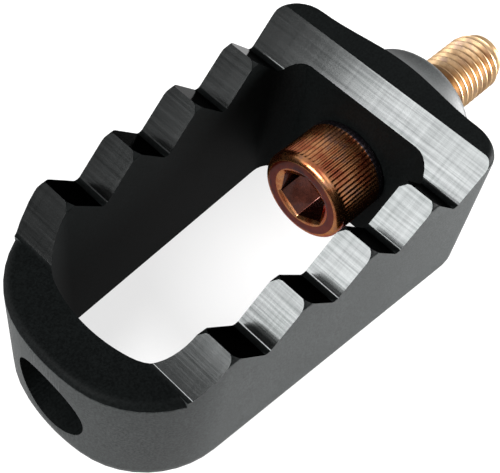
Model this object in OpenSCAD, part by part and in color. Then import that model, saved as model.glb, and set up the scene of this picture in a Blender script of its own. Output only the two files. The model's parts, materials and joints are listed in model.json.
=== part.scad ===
// Shifter peg for a motorbike's gear lever: a toothed, hollow foot peg on its own fixing screw.
// Millimetres. The origin is the middle of the boss's mounting face, on the screw's axis.
// +X runs along the screw towards the lever, the nose points along -X and +Z is up.

/* [Body] */
// Length from the nose's front to the flat rear face
body_len = 52.3; // [50:0.1:60]
// Width at the rear face
body_w = 32.4; // [30:0.1:36]
// Height from the flat underside to the top of the teeth
body_h = 22.8; // [21:0.1:26]
// Angle by which each side wall closes in towards the nose
side_taper = 3.15; // [1:0.05:4]
// Thickness of the side walls
side_wall = 4.5; // [3.5:0.1:5.5]
// Thickness of the end wall that the screw goes through
end_wall = 5.4; // [4:0.1:7]
// Thickness of the nose wall on the axis
nose_wall = 5.4; // [4:0.1:7]

/* [Outline] */
// Radius of the nose's front curve
nose_r = 24.5; // [20:0.5:32]
// Radius of the corners between the nose and the side walls
nose_corner_r = 11.7; // [8:0.1:12.5]
// Radius of the outer corners at the rear face
rear_corner_r = 3.2; // [1:0.1:4.5]
// Radius of the pocket's front curve
pocket_nose_r = 18.5; // [15:0.5:24]
// Radius of the pocket's front corners
pocket_corner_r = 5.6; // [4:0.1:7]
// Radius of the pocket's rear corners
pocket_rear_r = 3.2; // [1:0.1:4.5]

/* [Edges] */
// Radius along the top edges, outside and inside
top_round = 1.1; // [0.5:0.1:1.6]
// Radius along the lower outside edge
bottom_round = 3.6; // [1:0.1:4]

/* [Teeth] */
// Number of whole teeth in front of the last rising flank
teeth = 4; // [2:1:4]
// Distance from one groove to the next
tooth_pitch = 9.5; // [8:0.1:9.8]
// Angle of both flanks to the level
flank_angle = 45; // [40:1:47]
// Radius at the bottom of each groove
groove_r = 0.7; // [0.3:0.1:1.2]
// Distance from the rear face to the middle of the last groove
last_groove = 7.4; // [6:0.1:8.5]

/* [Boss] */
// Diameter of the round boss on the rear face
boss_d = 17.9; // [15:0.1:19]
// Length of the boss from the rear face
boss_len = 8.4; // [6:0.1:12]
// Radius along the boss's front rim
boss_rim = 1.6; // [0.5:0.1:2]
// Radius of the hollow curve that joins the boss to the rear face
flare_r = 8.8; // [3:0.1:9]

/* [Screw] */
// Height of the screw's axis above the underside
axis_h = 9.75; // [9.3:0.05:10.5]
// Outer diameter of the thread
thread_d = 7.9; // [7:0.05:8.5]
// Distance from one turn of the thread to the next
thread_pitch = 1.06; // [0.8:0.01:1.3]
// Depth of the thread
thread_depth = 0.6; // [0.4:0.01:0.7]
// Amount by which the plain shank's diameter is under the thread's
shank_step = 0.7; // [0.4:0.05:1]
// Length from the plain shank's end to the boss's face
runout = 1.2; // [0.5:0.1:2]
// Length from under the head to the tip
screw_len = 28; // [24:0.1:36]
// Length of the tapered tip
tip_len = 2; // [0.8:0.1:2.5]
// Diameter of the tip's end
tip_d = 6; // [5:0.1:6.8]
// Diameter of the head
head_d = 11.9; // [11:0.1:13]
// Height of the head
head_h = 8.3; // [7:0.1:9]
// Edge radius at the head's face
head_round = 0.8; // [0.3:0.1:1.2]
// Width across the flats of the key socket
socket_af = 6.35; // [5:0.05:7]
// Depth of the key socket's flats
socket_depth = 4.4; // [3:0.1:5]
// Radial clearance of the screw in its bore
screw_fit = 0.08; // [0.02:0.01:0.1]
// Gap between the head and its seat
head_gap = 0.03; // [0.02:0.01:0.1]

/* [Nose hole] */
// Diameter of the hole in the nose for the key
nose_hole_d = 9.9; // [9:0.1:12]

/* [Hidden] */

top_z = body_h - axis_h;
bottom_z = -axis_h;
rear_x = -boss_len;
nose_x = rear_x - body_len;
seat_x = rear_x - end_wall;
taper = tan(side_taper);
slant = 1 / cos(side_taper);
side_b = body_w / 2 - taper * rear_x;
last_groove_x = rear_x - last_groove;
first_groove_x = last_groove_x - teeth * tooth_pitch;
// the sharp bottom of the grooves lies under the rounded one
sharp_z = top_z - tan(flank_angle) * tooth_pitch / 2;
groove_cz = sharp_z + groove_r / cos(flank_angle);
groove_z = groove_cz - groove_r;
// the teeth end this far under the top, so that no two faces lie on each other
apex_drop = 0.04;
// play round the form that cuts the nose's rounded edge
clear = 0.02;
// how far a form starts inside the one that it joins
inside = 0.1;
head_x = seat_x - head_gap;
hex_d = socket_af / cos(30);
drill_depth = hex_d / 2 * tan(30);
// how far a cut runs past what it cuts
past = 1;

function arc(cx, cy, r, from, to, n, first = 1) =
    [for (i = [first:n]) let (a = from + (to - from) * i / n) [cx + r * cos(a), cy + r * sin(a)]];

// Upper half of a plan outline: front curve, corner, straight tapered side, rear corner.
// b is where the side line meets x = 0.
function half_outline(front, rear, b, nr, cr, rr) = let (
        fx = front + nr,
        c0 = b - cr * slant,
        qa = 1 + taper * taper,
        qb = taper * c0 - fx,
        qc = fx * fx + c0 * c0 - (nr - cr) * (nr - cr),
        cx = (-qb - sqrt(qb * qb - qa * qc)) / qa,
        cy = c0 + taper * cx,
        meet = atan2(cy, cx - fx),
        side = 90 + side_taper,
        rx = rear - rr,
        ry = b - rr * slant + taper * rx
    )
    concat(arc(fx, 0, nr, 180, meet, 14, 0), arc(cx, cy, cr, meet, side, 10),
        arc(rx, ry, rr, side, 0, 8, 0));

function whole(half) = concat(half, [for (i = [len(half) - 1:-1:1]) [half[i][0], -half[i][1]]]);

// The outside outline, drawn in by e on the sides and the nose
function outside(e) = whole(half_outline(nose_x + e, rear_x, side_b - e * slant,
    nose_r - e, nose_corner_r - e, rear_corner_r));

// The pocket's outline, drawn out by e all round
function pocket_outline(e) = whole(half_outline(nose_x + nose_wall - e, seat_x + e,
    side_b - (side_wall - e) * slant, pocket_nose_r + e, pocket_corner_r + e, pocket_rear_r + e));

// A plate of the outline between two heights
module plate(points, from, to) {
    translate([0, 0, from]) linear_extrude(to - from) polygon(points);
}

// A solid of the outside outline with both edges rounded, up to the height top
module blank(top, grow = 0) {
    steps = 5;
    hull() {
        for (i = [0:steps]) {
            a = 90 * i / steps;
            plate(outside(bottom_round * (1 - sin(a)) - grow), bottom_z + bottom_round * (1 - cos(a)), 0);
        }
        for (i = [0:steps]) {
            a = 90 * i / steps;
            plate(outside(top_round * (1 - cos(a)) - grow), 0, top - top_round * (1 - sin(a)));
        }
    }
}

// One groove's rounded bottom, from the angle a0 to a1 about its middle
function groove(x, a0, a1) = arc(x, groove_cz, groove_r, a0, a1, 6, 0);

// Everything above the row of teeth, seen from the side
module tooth_cut() {
    reach = tooth_pitch / 2;
    apex_z = top_z - apex_drop;
    end_x = last_groove_x + (top_z + past - sharp_z) / tan(flank_angle);
    profile = concat(
        [[nose_x - past, groove_z]],
        groove(first_groove_x, -90, -90 + flank_angle),
        [for (i = [1:teeth]) let (x = first_groove_x + i * tooth_pitch)
            each concat([[x - reach, apex_z]], groove(x, -90 - flank_angle, -90 + flank_angle))],
        [[end_x, top_z + past], [nose_x - past, top_z + past]]
    );
    translate([0, body_w, 0]) rotate([90, 0, 0]) linear_extrude(2 * body_w) polygon(profile);
}

// What the rounded edge of the nose's land takes away
module nose_edge_cut() {
    difference() {
        translate([nose_x - past, -body_w, groove_z - 2 * top_round])
            cube([first_groove_x - nose_x + past, 2 * body_w, 3 * top_round]);
        blank(groove_z, clear);
    }
}

// The pocket with its upper edge rounded outwards by a few rings, each from inside the one below
module pocket() {
    steps = 3;
    over = top_z + past;
    plate(pocket_outline(0), bottom_z - past, over);
    for (i = [1:steps]) {
        a0 = 90 * (i - 1) / steps;
        a1 = 90 * i / steps;
        slope = (sin(a1) - sin(a0)) / (cos(a0) - cos(a1));
        hull() {
            plate(pocket_outline(top_round * (1 - cos(a0)) - inside),
                top_z - top_round * (1 - sin(a0)) - slope * inside, over);
            plate(pocket_outline(top_round * (1 - cos(a1))), top_z - top_round * (1 - sin(a1)), over);
        }
    }
}

module along_x() {
    rotate([0, 90, 0]) children();
}

// The boss, which flares out in a hollow curve into the rear face and stays inside its outline
module boss() {
    root = 5 * inside;
    rise = min(flare_r, boss_len - boss_rim);
    lean = asin((flare_r - rise) / flare_r);
    foot = boss_d / 2 + flare_r * cos(lean);
    intersection() {
        along_x() rotate_extrude($fn = 96) polygon(concat(
            [[0, rear_x - root], [foot, rear_x - root]],
            arc(foot, rear_x + flare_r, flare_r, 270, 180 + lean, 12, 0),
            arc(boss_d / 2 - boss_rim, -boss_rim, boss_rim, 0, 90, 8, 0), [[0, 0]]));
        translate([rear_x - root, 0, 0]) rotate([90, 0, 90]) linear_extrude(boss_len + root)
            end_section();
    }
}

// The body's end seen along X, a little inside its rounded corners
module end_section() {
    w = body_w / 2 - rear_corner_r - inside;
    cz = bottom_z + bottom_round;
    polygon(concat([[w, top_z]], arc(w - bottom_round, cz, bottom_round, 0, -90, 6, 0),
        arc(bottom_round - w, cz, bottom_round, 270, 180, 6, 0), [[-w, top_z]]));
}

module peg_body() {
    color([0.12, 0.13, 0.13]) difference() {
        union() {
            difference() {
                blank(top_z);
                tooth_cut();
                nose_edge_cut();
            }
            boss();
        }
        pocket();
        along_x() translate([0, 0, seat_x - past]) cylinder(h = -seat_x + 2 * past,
            d = thread_d + 2 * screw_fit, $fn = 96);
        along_x() translate([0, 0, nose_x - past]) cylinder(h = nose_wall + 4 * past,
            d = nose_hole_d, $fn = 96);
    }
}

// The thread seen from the side, as ridges with flat crests from the boss's face to the tip
function ridges(from, to) = let (
        n = floor((to - from) / thread_pitch),
        crest = thread_pitch / 4,
        root = thread_pitch / 8,
        side = (thread_pitch - crest - root) / 2,
        r = thread_d / 2,
        deep = r - thread_depth
    )
    [for (i = [0:n - 1]) let (x = to - (n - i) * thread_pitch)
        each [[deep, x], [deep, x + root], [r, x + root + side], [r, x + root + side + crest]]];

module cap_screw() {
    r = head_d / 2;
    shank_r = (thread_d - shank_step) / 2;
    root_r = thread_d / 2 - thread_depth;
    face_x = head_x - head_h;
    tip_x = head_x + screw_len;
    color([0.62, 0.4, 0.16]) difference() {
        along_x() rotate_extrude($fn = 96) polygon(concat(
            [[0, face_x]],
            arc(r - head_round, face_x + head_round, head_round, -90, 0, 6, 0),
            [[r, head_x], [shank_r, head_x], [shank_r, -runout], [root_r, -runout]],
            ridges(0, tip_x - tip_len),
            [[root_r, tip_x - tip_len], [tip_d / 2, tip_x], [0, tip_x]]));
        along_x() translate([0, 0, face_x - past]) cylinder(h = socket_depth + past, d = hex_d, $fn = 6);
        along_x() translate([0, 0, face_x + socket_depth]) cylinder(h = drill_depth,
            d1 = socket_af, d2 = 0, $fn = 48);
    }
}

peg_body();
cap_screw();
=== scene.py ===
# %% [markdown]
# # A shifter peg for a motorbike
# A small hollow foot peg with a row of saw-like teeth, and the socket-head screw that holds it to
# the gear lever. The measured model comes in first as a fixed frame. Everything here is in metres
# and in that frame: the screw runs along +X, the nose points along -X and +Z is up.

# %% Load the measured model
import bpy
import bmesh
import json
import math
from mathutils import Matrix, Vector

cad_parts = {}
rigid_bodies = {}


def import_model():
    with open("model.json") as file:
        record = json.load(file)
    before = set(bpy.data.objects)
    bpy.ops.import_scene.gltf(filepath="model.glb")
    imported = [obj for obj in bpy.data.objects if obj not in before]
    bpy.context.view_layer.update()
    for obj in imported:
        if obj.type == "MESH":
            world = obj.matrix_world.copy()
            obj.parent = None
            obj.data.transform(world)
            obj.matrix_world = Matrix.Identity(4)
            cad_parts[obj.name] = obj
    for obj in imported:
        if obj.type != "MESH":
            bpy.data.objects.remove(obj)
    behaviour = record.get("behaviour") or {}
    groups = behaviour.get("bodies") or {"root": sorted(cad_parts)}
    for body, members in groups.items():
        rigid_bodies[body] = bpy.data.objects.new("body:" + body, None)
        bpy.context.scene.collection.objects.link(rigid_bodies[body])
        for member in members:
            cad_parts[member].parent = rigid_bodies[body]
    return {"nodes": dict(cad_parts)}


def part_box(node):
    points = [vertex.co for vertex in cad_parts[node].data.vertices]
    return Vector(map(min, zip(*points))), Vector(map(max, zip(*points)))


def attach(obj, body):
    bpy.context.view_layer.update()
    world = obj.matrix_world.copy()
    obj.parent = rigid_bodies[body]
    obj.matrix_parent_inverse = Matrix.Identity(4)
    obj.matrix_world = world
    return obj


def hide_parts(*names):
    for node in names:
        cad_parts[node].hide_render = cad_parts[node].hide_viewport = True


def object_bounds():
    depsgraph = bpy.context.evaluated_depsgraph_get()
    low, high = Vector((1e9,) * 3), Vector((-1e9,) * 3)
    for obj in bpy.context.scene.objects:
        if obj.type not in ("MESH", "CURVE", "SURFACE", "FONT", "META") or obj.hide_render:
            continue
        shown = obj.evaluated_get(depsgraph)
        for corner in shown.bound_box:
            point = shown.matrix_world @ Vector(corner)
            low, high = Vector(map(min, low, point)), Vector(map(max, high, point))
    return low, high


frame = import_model()
cad_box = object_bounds()
MM = 0.001
print("CAD box in mm:", [[round(v / MM, 2) for v in corner] for corner in cad_box])

# %% [markdown]
# ## Colours and nodes
# Colours are written as the hex values that a paint program shows. The shader wants linear light,
# so one function turns them. Every material below is a short chain of nodes, so one more function
# adds a node with its settings, its values and its links.

# %% Helpers for materials
def linear(hex_colour):
    """A hex colour as the linear values that a shader socket takes."""
    parts = [int(hex_colour[i:i + 2], 16) / 255 for i in (1, 3, 5)]
    return [p / 12.92 if p <= 0.04045 else ((p + 0.055) / 1.055) ** 2.4 for p in parts] + [1.0]


def plug(owner, target, inputs):
    """Gives inputs of a node, by name or number, a value or another node's output."""
    for key, value in inputs.items():
        if isinstance(value, bpy.types.NodeSocket):
            owner.node_tree.links.new(value, target.inputs[key])
        else:
            target.inputs[key].default_value = value


def node(owner, kind, inputs=None, stops=(), **settings):
    """Adds a node to a material or a world. Stops are (position, hex colour) pairs for a ramp."""
    new = owner.node_tree.nodes.new("ShaderNode" + kind)
    for name, value in settings.items():
        setattr(new, name, value)
    plug(owner, new, inputs or {})
    if stops:
        elements = new.color_ramp.elements
        while len(elements) < len(stops):
            elements.new(0.5)
        for element, (position, colour) in zip(elements, stops):
            element.position = position
            element.color = linear(colour)
    return new


def new_material(name):
    """A new material and its shader."""
    material = bpy.data.materials.new(name)
    material.use_nodes = True
    return material, material.node_tree.nodes["Principled BSDF"]


print("middle grey in linear light:", round(linear("#808080")[0], 3))

# %% [markdown]
# ## Blasted black anodised aluminium
# The outside of the peg was blasted with fine grit and then anodised black. To the eye that is a
# dark grey with a broad, soft sheen and a fine sandy grain. Noise at the size of the grit drives
# both the bump and small changes of colour. Grit of about 0.1 mm would vanish in the picture, so
# the grain is drawn at 0.25 mm. The same function makes three finishes: the outside, the smoother
# boss with more sheen, and a darker copy with almost no shine for the lands and the pocket, which
# paints the shade that falls on them there.

# %% Blasted finishes
GRAIN = 0.25 * MM
GRAIN_HEIGHT = 0.03 * MM
CLOUD = 9 * MM
CLOUD_STOPS = [(0.3, "#e4e6e6"), (0.7, "#ffffff")]


def blasted_anodised(name, specular, dark, light):
    """A sandy black between two greys, with patches that are a little darker."""
    material, shader = new_material(name)
    where = node(material, "TexCoord").outputs["Object"]
    grain = node(material, "TexNoise", {"Vector": where, "Scale": 1 / GRAIN, "Detail": 3.0, "Roughness": 0.7})
    cloud = node(material, "TexNoise", {"Vector": where, "Scale": 1 / CLOUD, "Detail": 2.0})
    speck = node(material, "ValToRGB", {"Fac": grain.outputs["Fac"]}, [(0.36, dark), (0.64, light)])
    shade = node(material, "ValToRGB", {"Fac": cloud.outputs["Fac"]}, CLOUD_STOPS)
    mixed = node(material, "Mix", {0: 1.0, 6: speck.outputs["Color"], 7: shade.outputs["Color"]},
                 data_type="RGBA", blend_type="MULTIPLY")
    bump = node(material, "Bump", {"Height": grain.outputs["Fac"], "Strength": 0.25,
                                   "Distance": GRAIN_HEIGHT})
    plug(material, shader, {"Base Color": mixed.outputs[2], "Normal": bump.outputs["Normal"],
                            "Metallic": 0.0, "Roughness": 0.55, "Specular IOR Level": specular})
    return material


outer_finish = blasted_anodised("blasted_black_anodised_aluminium", 0.15, "#0a0c0c", "#272a2a")
boss_finish = blasted_anodised("fine_blasted_black_anodised_aluminium", 0.3, "#0a0c0c", "#252828")
# The lands and the pocket: the same blasted finish, darker and nearly without shine, as painted shade
body_painted_shade_finish = blasted_anodised("black_anodised_aluminium_painted_shade", 0.02, "#040505", "#0c0e0e")
print("made", outer_finish.name, boss_finish.name, "and", body_painted_shade_finish.name)

# %% [markdown]
# ## Milled black anodised aluminium
# The flanks of the teeth were milled after blasting, so they are smoother and mirror the light in
# one broad flash, crossed by the cutter's fine lines. The metal shines through the thin black
# layer, so the base is a metal of a very dark colour. The lines are noise that is 0.35 mm wide and
# drawn out to 12 mm across the peg. Real ones are nearer to 0.1 mm and would vanish in the picture.
# A weaker noise the other way gives the few crossing marks.

# %% Milled finish
LINE = 0.35 * MM
LINE_LENGTH = 12 * MM
LINE_HEIGHT = 0.012 * MM
CROSS_LINE = 0.4 * MM
CROSS_LENGTH = 9 * MM
CROSS_SHARE = 0.25


def milled_anodised():
    """A very dark metal with cutter's lines along Y and fainter ones across them."""
    material, shader = new_material("milled_black_anodised_aluminium")
    where = node(material, "TexCoord").outputs["Object"]
    along = node(material, "Mapping", {"Vector": where, "Scale": (1 / LINE, 1 / LINE_LENGTH, 1 / LINE)})
    lines = node(material, "TexNoise", {"Vector": along.outputs["Vector"], "Scale": 1.0, "Detail": 3.0,
                                        "Roughness": 0.6})
    across = node(material, "Mapping", {"Vector": where,
                                        "Scale": (1 / CROSS_LENGTH, 1 / CROSS_LINE, 1 / CROSS_LENGTH)})
    cross = node(material, "TexNoise", {"Vector": across.outputs["Vector"], "Scale": 1.0, "Detail": 2.0})
    both = node(material, "Mix", {0: CROSS_SHARE, 2: lines.outputs["Fac"], 3: cross.outputs["Fac"]})
    colour = node(material, "ValToRGB", {"Fac": both.outputs[0]}, [(0.36, "#1e1f1f"), (0.64, "#2b2c2c")])
    bump = node(material, "Bump", {"Height": lines.outputs["Fac"], "Strength": 0.3, "Distance": LINE_HEIGHT})
    plug(material, shader, {"Base Color": colour.outputs["Color"], "Normal": bump.outputs["Normal"],
                            "Metallic": 1.0, "Roughness": 0.16, "Specular Tint": linear("#909090")})
    return material


milled_finish = milled_anodised()
print("made", milled_finish.name)

# %% [markdown]
# ## The peg's body
# The body was cast or milled from one piece of aluminium. The measured solid already has the
# right form, so its mesh is copied, its loose triangles are merged and its flat faces joined.
# Each face gets its finish from where it lies and which way it looks. A narrow bevel then gives
# every sharp edge the small break that catches the light.

# %% Where each finish goes
BODY_FINISHES = (outer_finish, body_painted_shade_finish, milled_finish, boss_finish)
OUTER, DARK, MILLED, BOSS = range(len(BODY_FINISHES))
# The rear face, the front end of the row of teeth, just under the flanks, and just under the tops
REAR_X = -8.4 * MM
FIRST_GROOVE_X = -54.2 * MM
GROOVE_Z = 7.5 * MM
REAR_TOP_Z = 11 * MM
ON_REAR_FACE = 0.02 * MM
# Parts of a normal that tell a flank, a level face and a wall apart
FLANK = 0.6
LEVEL = 0.99
WALL = 0.35
NOSE_PULL = 0.35


def finish_of(face):
    """The number of the finish that a face of the body has."""
    middle = face.calc_center_median()
    normal = face.normal
    on_flank = normal.z > FLANK and abs(normal.x) > FLANK
    if on_flank and middle.z > GROOVE_Z and FIRST_GROOVE_X < middle.x < REAR_X:
        return MILLED
    past_rear = middle.x > REAR_X + ON_REAR_FACE
    if past_rear and (normal.z < LEVEL or middle.z < REAR_TOP_Z):
        return BOSS
    # The way out of the pocket: sideways, and near the nose forwards as well
    outward = Vector((min(middle.x - 2 * REAR_X, 0) * NOSE_PULL, middle.y, 0))
    if normal.z < WALL and not past_rear and normal.dot(outward) > 0:
        return OUTER
    # Faces that look up or into the pocket take the darker copy, which paints their shade
    return DARK


print("finishes on the body:", len(BODY_FINISHES))


# %% Body
EDGE_BREAK = 0.1 * MM
WELD = 0.002 * MM


def keep_flats_flat(piece):
    """Lets the large faces set the shading, so a flat keeps one tone up to its broken edge."""
    weighted = piece.modifiers.new("flat_faces_stay_flat", "WEIGHTED_NORMAL")
    weighted.mode = "FACE_AREA"
    weighted.weight = 100
    weighted.thresh = 0.01


def break_edges(piece):
    """Bevels each edge that is sharper than the facets of the rounded walls."""
    bevel = piece.modifiers.new("edge_break", "BEVEL")
    bevel.width = EDGE_BREAK
    bevel.segments = 2
    bevel.limit_method = "ANGLE"
    bevel.angle_limit = math.radians(28)
    bevel.use_clamp_overlap = True


def peg_body():
    """The body's measured mesh with a finish on each face."""
    mesh = frame["nodes"]["peg_body"].data.copy()
    mesh.name = "peg_body_detail"
    bm = bmesh.new()
    bm.from_mesh(mesh)
    bmesh.ops.remove_doubles(bm, verts=bm.verts, dist=WELD)
    bmesh.ops.dissolve_limit(bm, angle_limit=math.radians(0.5), verts=bm.verts, edges=bm.edges)
    for face in bm.faces:
        face.smooth = True
        face.material_index = finish_of(face)
    mesh.materials.clear()
    for finish in BODY_FINISHES:
        mesh.materials.append(finish)
    bm.to_mesh(mesh)
    bm.free()
    piece = bpy.data.objects.new("peg_body_detail", mesh)
    bpy.context.scene.collection.objects.link(piece)
    break_edges(piece)
    keep_flats_flat(piece)
    return piece


body = peg_body()
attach(body, "peg")
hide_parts("peg_body")
print(body.name, "has", len(body.data.polygons), "faces")

# %% [markdown]
# ## Gold zinc plating
# The screw is steel with a yellow zinc coat. The coat is thin and uneven, so it turns from gold to
# copper to a trace of violet. It is a metal: its colour sits in the reflection. A large noise mixes
# the tints in clouds, and a small one makes the shine uneven. The tints change with the place: pale
# gold on the thread and violet grey at the foot. The head sits down in the pocket, so its tints are
# darker copies that paint shade: the knurl's copper brown is partly the coat's own copper and partly
# painted shade, and the dark red face and the darker socket are painted shade, with a painted dark
# reflection of the pocket round them.

# %% Screw finishes
TINT_CLOUD = 3 * MM
SPECKLE = 0.35 * MM
SPECKLE_HEIGHT = 0.01 * MM
TINT_PLACES = (0.25, 0.42, 0.55, 0.75)


def gold_zinc(name, tints, edge, smooth, coarse, coat=0.3):
    """A cloudy metal. Edge is its tint at a glancing look, smooth and coarse bound its roughness."""
    material, shader = new_material(name)
    where = node(material, "TexCoord").outputs["Object"]
    cloud = node(material, "TexNoise", {"Vector": where, "Scale": 1 / TINT_CLOUD, "Detail": 3.0,
                                        "Roughness": 0.6})
    fine = node(material, "TexNoise", {"Vector": where, "Scale": 1 / SPECKLE, "Detail": 2.0})
    tint = node(material, "ValToRGB", {"Fac": cloud.outputs["Fac"]}, list(zip(TINT_PLACES, tints)))
    rough = node(material, "MapRange", {"Value": fine.outputs["Fac"], "To Min": smooth, "To Max": coarse})
    bump = node(material, "Bump", {"Height": fine.outputs["Fac"], "Strength": 0.15,
                                   "Distance": SPECKLE_HEIGHT})
    plug(material, shader, {"Base Color": tint.outputs["Color"], "Roughness": rough.outputs["Result"],
                            "Normal": bump.outputs["Normal"], "Metallic": 1.0,
                            "Specular Tint": linear(edge), "Coat Weight": coat, "Coat Roughness": 0.1})
    return material


thread_finish = gold_zinc("yellow_zinc_plated_steel",
                          ("#765c4a", "#90765a", "#a88e6e", "#806c66"), "#d8c4ac", 0.3, 0.46, coat=0.0)
# The knurl and rim: the coat's copper tint, made darker than the thread's to paint the pocket's shade
side_tint_and_shade_finish = gold_zinc("copper_zinc_plated_steel_and_painted_shade",
                        ("#763624", "#904e30", "#a67048", "#5c4a50"), "#b07858", 0.2, 0.34)
# The face: a dark red copy of the plating that paints the shade and dark reflection of the pocket
face_painted_shade_finish = gold_zinc("red_zinc_plated_steel_painted_shade",
                        ("#421812", "#54241a", "#643224", "#362630"), "#70402e", 0.24, 0.38)
# The socket: a still darker copy of the plating that paints the shade inside it
socket_painted_shade_finish = gold_zinc("shaded_zinc_plated_steel",
                          ("#2a1210", "#361a14", "#44221a", "#261a20"), "#60382c", 0.2, 0.34)
band_finish = gold_zinc("violet_grey_zinc_plated_steel",
                        ("#5a5060", "#6c626e", "#847880", "#6a5860"), "#908894", 0.2, 0.3)
print("made", thread_finish.name, side_tint_and_shade_finish.name, face_painted_shade_finish.name, socket_painted_shade_finish.name, band_finish.name)

# %% [markdown]
# ## The screw's head
# A turned head with a rounded rim, straight knurling round its side, a plain band at its foot and a
# hexagonal socket for the key. It is spun from one profile, as a lathe turns it. Then the points of
# each knurl groove are moved inwards, and the socket's round wall is moved onto a hexagon.

# %% Sizes of the screw
low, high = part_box("cap_screw")
FACE_X = low[0]
TIP_X = high[0]
HEAD_R = high[1]
HEAD_H = 8.3 * MM
SEAT_X = FACE_X + HEAD_H
RIM_R = 0.8 * MM
FOOT_BREAK = 0.15 * MM
SOCKET_AF = 6.35 * MM
SOCKET_CORNER_R = SOCKET_AF / 2 / math.cos(math.pi / 6)
SOCKET_X = FACE_X + 4.4 * MM
DRILL_POINT = 1.2 * MM
DRILL_R = 2.6 * MM
MOUTH_DEPTH = 0.3 * MM
MOUTH_WIDTH = 0.4 * MM
FACE_RING_R = 0.75 * HEAD_R
KNURL_FROM = FACE_X + 0.9 * MM
KNURL_TO = SEAT_X - 1.0 * MM
KNURL_RIBS = 64
KNURL_DEPTH = 0.24 * MM
POINTS_PER_RIB = 6
THREAD_R = 3.95 * MM
PITCH = 25.4 / 24 * MM
NEAR = 0.01 * MM
print("screw from", round(FACE_X / MM, 2), "to", round(TIP_X / MM, 2), "mm")


# %% Making turned pieces
def spin_profile(bm, points, steps):
    """Spins (x, r) points one full turn about the screw's axis."""
    verts = [bm.verts.new((x, 0, r)) for x, r in points]
    edges = [bm.edges.new(pair) for pair in zip(verts, verts[1:])]
    bmesh.ops.spin(bm, geom=verts + edges, cent=(0, 0, 0), axis=(1, 0, 0), angle=math.tau,
                   steps=steps, use_merge=True, use_duplicate=False)


def radius_of(co):
    """A point's distance from the screw's axis."""
    return math.hypot(co.y, co.z)


def set_radius(vert, radius):
    """Moves a point straight in or out from the screw's axis."""
    scale = radius / radius_of(vert.co)
    vert.co.y *= scale
    vert.co.z *= scale


def finish_piece(bm, name, materials, smooth_deg):
    """Turns the mesh into an object that is smooth but for edges of more than smooth_deg degrees."""
    bmesh.ops.remove_doubles(bm, verts=bm.verts, dist=0.0005 * MM)
    bmesh.ops.recalc_face_normals(bm, faces=bm.faces)
    for face in bm.faces:
        face.smooth = True
    for edge in bm.edges:
        if len(edge.link_faces) == 2 and edge.calc_face_angle() > math.radians(smooth_deg):
            edge.smooth = False
    mesh = bpy.data.meshes.new(name)
    bm.to_mesh(mesh)
    bm.free()
    for material in materials:
        mesh.materials.append(material)
    piece = bpy.data.objects.new(name, mesh)
    bpy.context.scene.collection.objects.link(piece)
    return piece


print("points round the head:", KNURL_RIBS * POINTS_PER_RIB)


# %% Shaping the head
HEAD_FINISHES = (side_tint_and_shade_finish, face_painted_shade_finish, band_finish, socket_painted_shade_finish)
SIDE, FACE, BAND, SOCKET = range(len(HEAD_FINISHES))


def head_profile():
    """The head's outline, from the socket's bottom round the rim and down the side to the seat."""
    socket = [(SOCKET_X + DRILL_POINT, 0.0), (SOCKET_X, DRILL_R), (SOCKET_X, SOCKET_CORNER_R),
              (FACE_X + MOUTH_DEPTH, SOCKET_CORNER_R), (FACE_X, SOCKET_CORNER_R + MOUTH_WIDTH)]
    rim = [(FACE_X, FACE_RING_R)]
    for degrees in range(0, 91, 15):
        a = math.radians(degrees)
        rim.append((FACE_X + RIM_R * (1 - math.cos(a)), HEAD_R - RIM_R * (1 - math.sin(a))))
    side = [(x, HEAD_R) for x in (KNURL_FROM, KNURL_FROM + 0.6 * MM, KNURL_TO - 0.4 * MM, KNURL_TO)]
    foot = [(SEAT_X - FOOT_BREAK, HEAD_R), (SEAT_X, HEAD_R - FOOT_BREAK), (SEAT_X, 0.0)]
    return socket + rim + side + foot


def cut_knurl(bm):
    """Presses V grooves into the head's side, one between each two ribs."""
    step = math.tau / KNURL_RIBS
    for v in bm.verts:
        r = radius_of(v.co)
        if r > HEAD_R - NEAR and KNURL_FROM + 0.1 * MM < v.co.x < KNURL_TO - 0.1 * MM:
            part = (math.atan2(v.co.y, v.co.z) / step) % 1.0
            from_groove = abs(2 * part - 1)
            if from_groove < 0.75:
                set_radius(v, r - KNURL_DEPTH * (1 - from_groove))


def cut_socket(bm):
    """Moves the socket's round wall onto a hexagon that is the key's size across its flats."""
    sixth = math.radians(60)
    for v in bm.verts:
        on_wall = abs(radius_of(v.co) - SOCKET_CORNER_R) < NEAR
        if on_wall and FACE_X + 0.2 * MM < v.co.x < SOCKET_X + NEAR:
            angle = math.atan2(v.co.y, v.co.z)
            set_radius(v, SOCKET_AF / 2 / math.cos(angle % sixth - sixth / 2))


def head_finish_of(face):
    """The number of the finish that a face of the head has."""
    middle = face.calc_center_median()
    if middle.x > KNURL_TO:
        return BAND
    # The flat face takes the copy that paints its shade
    if middle.x < FACE_X + NEAR:
        return FACE
    # The socket's walls and bottom take the darker copy that paints their shade
    if middle.x > FACE_X + MOUTH_DEPTH + NEAR and radius_of(middle) < 1.02 * SOCKET_CORNER_R:
        return SOCKET
    return SIDE


def head():
    """The finished head of the screw."""
    bm = bmesh.new()
    spin_profile(bm, head_profile(), KNURL_RIBS * POINTS_PER_RIB)
    cut_knurl(bm)
    cut_socket(bm)
    for face in bm.faces:
        face.material_index = head_finish_of(face)
    piece = finish_piece(bm, "screw_head", HEAD_FINISHES, smooth_deg=25)
    keep_flats_flat(piece)
    return piece


screw_head = head()
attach(screw_head, "screw")
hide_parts("cap_screw")
print(screw_head.name, "has", len(screw_head.data.polygons), "faces")

# %% [markdown]
# ## The screw's thread
# The thread is a V-shaped ridge wound round the shank. One ridge's profile is spun about the axis
# while it moves along by one pitch a turn, which is just how a lathe cuts it. Both ends are then
# sliced flat, and the tip's crests are pressed down to a cone as the real lead-in is. The end that
# hides in the bore is drawn out to the head as the shank.

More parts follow.
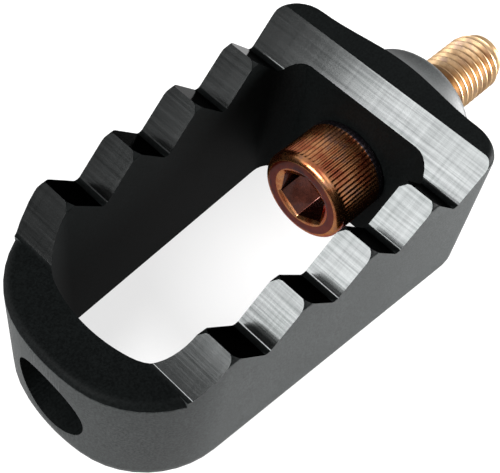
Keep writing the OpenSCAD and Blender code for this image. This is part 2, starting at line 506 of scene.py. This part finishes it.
# %% Thread
THREAD_START = -3.0 * MM
THREAD_DEPTH = 0.61 * PITCH
STEPS_A_TURN = 72
SHANK_IN_HEAD = 0.5 * MM
TIP_LEN = 1.9 * MM
TIP_DROP = 0.85 * MM


def thread_profile():
    """One turn's outline as (x, r) points: crest, flank, root and flank."""
    crest = PITCH / 8
    root = 1.5 * crest
    flank = (PITCH - crest - root) / 2
    root_r = THREAD_R - THREAD_DEPTH
    return [(0, THREAD_R), (crest, THREAD_R), (crest + flank, root_r), (crest + flank + root, root_r),
            (PITCH, THREAD_R)]


def wind_thread(bm):
    """Winds the outline from one turn before the start to past the tip."""
    turns = int((TIP_X - THREAD_START) / PITCH) + 3
    verts = [bm.verts.new((THREAD_START - PITCH + x, 0, r)) for x, r in thread_profile()]
    edges = [bm.edges.new(pair) for pair in zip(verts, verts[1:])]
    bmesh.ops.spin(bm, geom=verts + edges, cent=(0, 0, 0), axis=(1, 0, 0), angle=math.tau * turns,
                   steps=STEPS_A_TURN * turns, dvec=(PITCH / STEPS_A_TURN, 0, 0), use_duplicate=False)
    bmesh.ops.remove_doubles(bm, verts=bm.verts, dist=WELD)


def cut_flat(bm, x, side):
    """Cuts away what lies past x on the side of +1 or -1 and closes the end. Gives the end's faces."""
    geom = list(bm.verts) + list(bm.edges) + list(bm.faces)
    bmesh.ops.bisect_plane(bm, geom=geom, plane_co=(x, 0, 0), plane_no=(side, 0, 0), clear_outer=True)
    rim = [e for e in bm.edges if e.is_boundary and all(abs(v.co.x - x) < 0.001 * MM for v in e.verts)]
    return bmesh.ops.contextual_create(bm, geom=rim)["faces"]


def draw_out_shank(bm, end):
    """Draws the thread's hidden end out to just inside the head."""
    pushed = bmesh.ops.extrude_face_region(bm, geom=end)["geom"]
    bmesh.ops.translate(bm, vec=(SEAT_X - SHANK_IN_HEAD - THREAD_START, 0, 0),
                        verts=[g for g in pushed if isinstance(g, bmesh.types.BMVert)])
    bmesh.ops.delete(bm, geom=end, context="FACES_ONLY")


def press_tip(bm):
    """Presses the crests near the tip down to a cone."""
    for v in bm.verts:
        past = v.co.x - (TIP_X - TIP_LEN)
        limit = THREAD_R - past / TIP_LEN * TIP_DROP
        if past > 0 and radius_of(v.co) > limit:
            set_radius(v, limit)


def thread():
    """The finished thread with its hidden shank."""
    bm = bmesh.new()
    wind_thread(bm)
    draw_out_shank(bm, cut_flat(bm, THREAD_START, -1))
    cut_flat(bm, TIP_X, 1)
    press_tip(bm)
    return finish_piece(bm, "screw_thread_detail", (thread_finish,), smooth_deg=50)


screw_thread = thread()
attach(screw_thread, "screw")
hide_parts("cap_screw")
print(screw_thread.name, "has", len(screw_thread.data.polygons), "faces")

# %% [markdown]
# ## Floor and backdrop
# A pale floor in front of a white backdrop. The floor glows a little for the rays that see it
# straight or in a mirror, so it stays near white and still shows the peg's shadow. The backdrop is
# full white for those rays and dimmer for the rest, so it doesn't wash out the dark finishes.

# %% Floor and world
FLOOR_HALF = 1.6
FLOOR_GLOW = 0.7
BACKDROP_FILL = 0.3


def background_rays(owner):
    """A socket that is 1 for the rays that may see the white background, and 0 for the rest."""
    path = node(owner, "LightPath")
    seen = path.outputs["Is Camera Ray"]
    for ray in ("Is Glossy Ray", "Is Transmission Ray"):
        seen = node(owner, "Math", {0: seen, 1: path.outputs[ray]}, operation="MAXIMUM").outputs["Value"]
    return seen


def floor():
    """A pale floor under the peg."""
    bm = bmesh.new()
    bmesh.ops.create_grid(bm, x_segments=1, y_segments=1, size=FLOOR_HALF)
    bmesh.ops.translate(bm, vec=(0, 0, cad_box[0][2]), verts=bm.verts)
    material, shader = new_material("pale_studio_floor")
    plug(material, shader, {"Base Color": linear("#f4f4f4"), "Roughness": 0.9})
    white = node(material, "Emission", {"Strength": 1.0})
    glow = node(material, "Math", {0: background_rays(material), 1: FLOOR_GLOW}, operation="MULTIPLY")
    mixed = node(material, "MixShader", {0: glow.outputs["Value"], 1: shader.outputs["BSDF"],
                                         2: white.outputs["Emission"]})
    plug(material, material.node_tree.nodes["Material Output"], {"Surface": mixed.outputs["Shader"]})
    piece = finish_piece(bm, "floor", (material,), smooth_deg=40)
    return piece


def backdrop():
    """A white world."""
    world = bpy.data.worlds.new("studio")
    bpy.context.scene.world = world
    world.use_nodes = True
    strength = node(world, "MapRange", {"Value": background_rays(world), "To Min": BACKDROP_FILL,
                                        "To Max": 1.0})
    plug(world, world.node_tree.nodes["Background"], {"Color": linear("#ffffff"),
                                                      "Strength": strength.outputs["Result"]})
    return world


print("made", floor().name, "and", backdrop().name)

# %% [markdown]
# ## Lamps
# Soft lamps, as in a product studio. The front lamp's place sets which flanks flash: the right ones
# mirror it and the left ones look past its edge, which also makes the rear tooth's strip fade to
# the left. The side lamp lights the right wall more towards the rear, and the other two open up
# the shadows.

# %% Lamps
PEG_MIDDLE = Vector((-30 * MM, 0, 0))


def softbox(name, azimuth, elevation, distance, size, watts):
    """An area lamp that looks at the middle of the peg. Azimuth is from +X towards +Y, in degrees."""
    light = bpy.data.lights.new(name, "AREA")
    light.shape = "RECTANGLE"
    light.size, light.size_y = size
    light.energy = watts
    lamp = bpy.data.objects.new(name, light)
    a, e = math.radians(azimuth), math.radians(elevation)
    offset = Vector((math.cos(a) * math.cos(e), math.sin(a) * math.cos(e), math.sin(e))) * distance
    turn = offset.to_track_quat("Z", "Y").to_matrix().to_4x4()
    lamp.matrix_world = Matrix.Translation(PEG_MIDDLE + offset) @ turn
    bpy.context.scene.collection.objects.link(lamp)
    return lamp


lamps = [softbox("front_softbox", 171.5, 38, 0.5, (0.26, 0.22), 6.1),
         softbox("side_softbox", -38, 10, 0.2, (0.1, 0.08), 2.0),
         softbox("left_softbox", 120, 4, 0.4, (0.15, 0.1), 0.9),
         softbox("top_softbox", -60, 68, 0.7, (0.4, 0.4), 1.0)]
print("lamps:", [lamp.name for lamp in lamps])

# %% [markdown]
# ## Camera
# The camera's place, turn and lens were worked out from the edges of the peg in the photograph.
# Its small shift puts the lens's middle where the photograph has it. Lengths on the photograph are
# in its pixels.

# %% Camera
PHOTO_W = 500
PHOTO_H = 473
FOCAL_PX = 1057.0
LENS_MIDDLE_PX = (245.57, 230.53)
CAMERA_MM = (-87.90, -40.43, 99.53)
CAMERA_TURN_DEG = (35.0015, -5.9975, -45.6517)


def camera():
    """A camera that stands where the photograph was taken from."""
    data = bpy.data.cameras.new("camera")
    data.sensor_width = 36
    data.lens = FOCAL_PX * data.sensor_width / PHOTO_W
    data.shift_x = (PHOTO_W / 2 - LENS_MIDDLE_PX[0]) / PHOTO_W
    data.shift_y = (LENS_MIDDLE_PX[1] - PHOTO_H / 2) / PHOTO_W
    data.clip_start = 0.005
    data.clip_end = 10
    piece = bpy.data.objects.new("camera", data)
    piece.location = [v * MM for v in CAMERA_MM]
    piece.rotation_euler = [math.radians(v) for v in CAMERA_TURN_DEG]
    bpy.context.scene.collection.objects.link(piece)
    bpy.context.scene.camera = piece
    return piece


print("lens:", round(camera().data.lens, 1), "mm")
bpy.context.scene.view_settings.view_transform = "Standard"
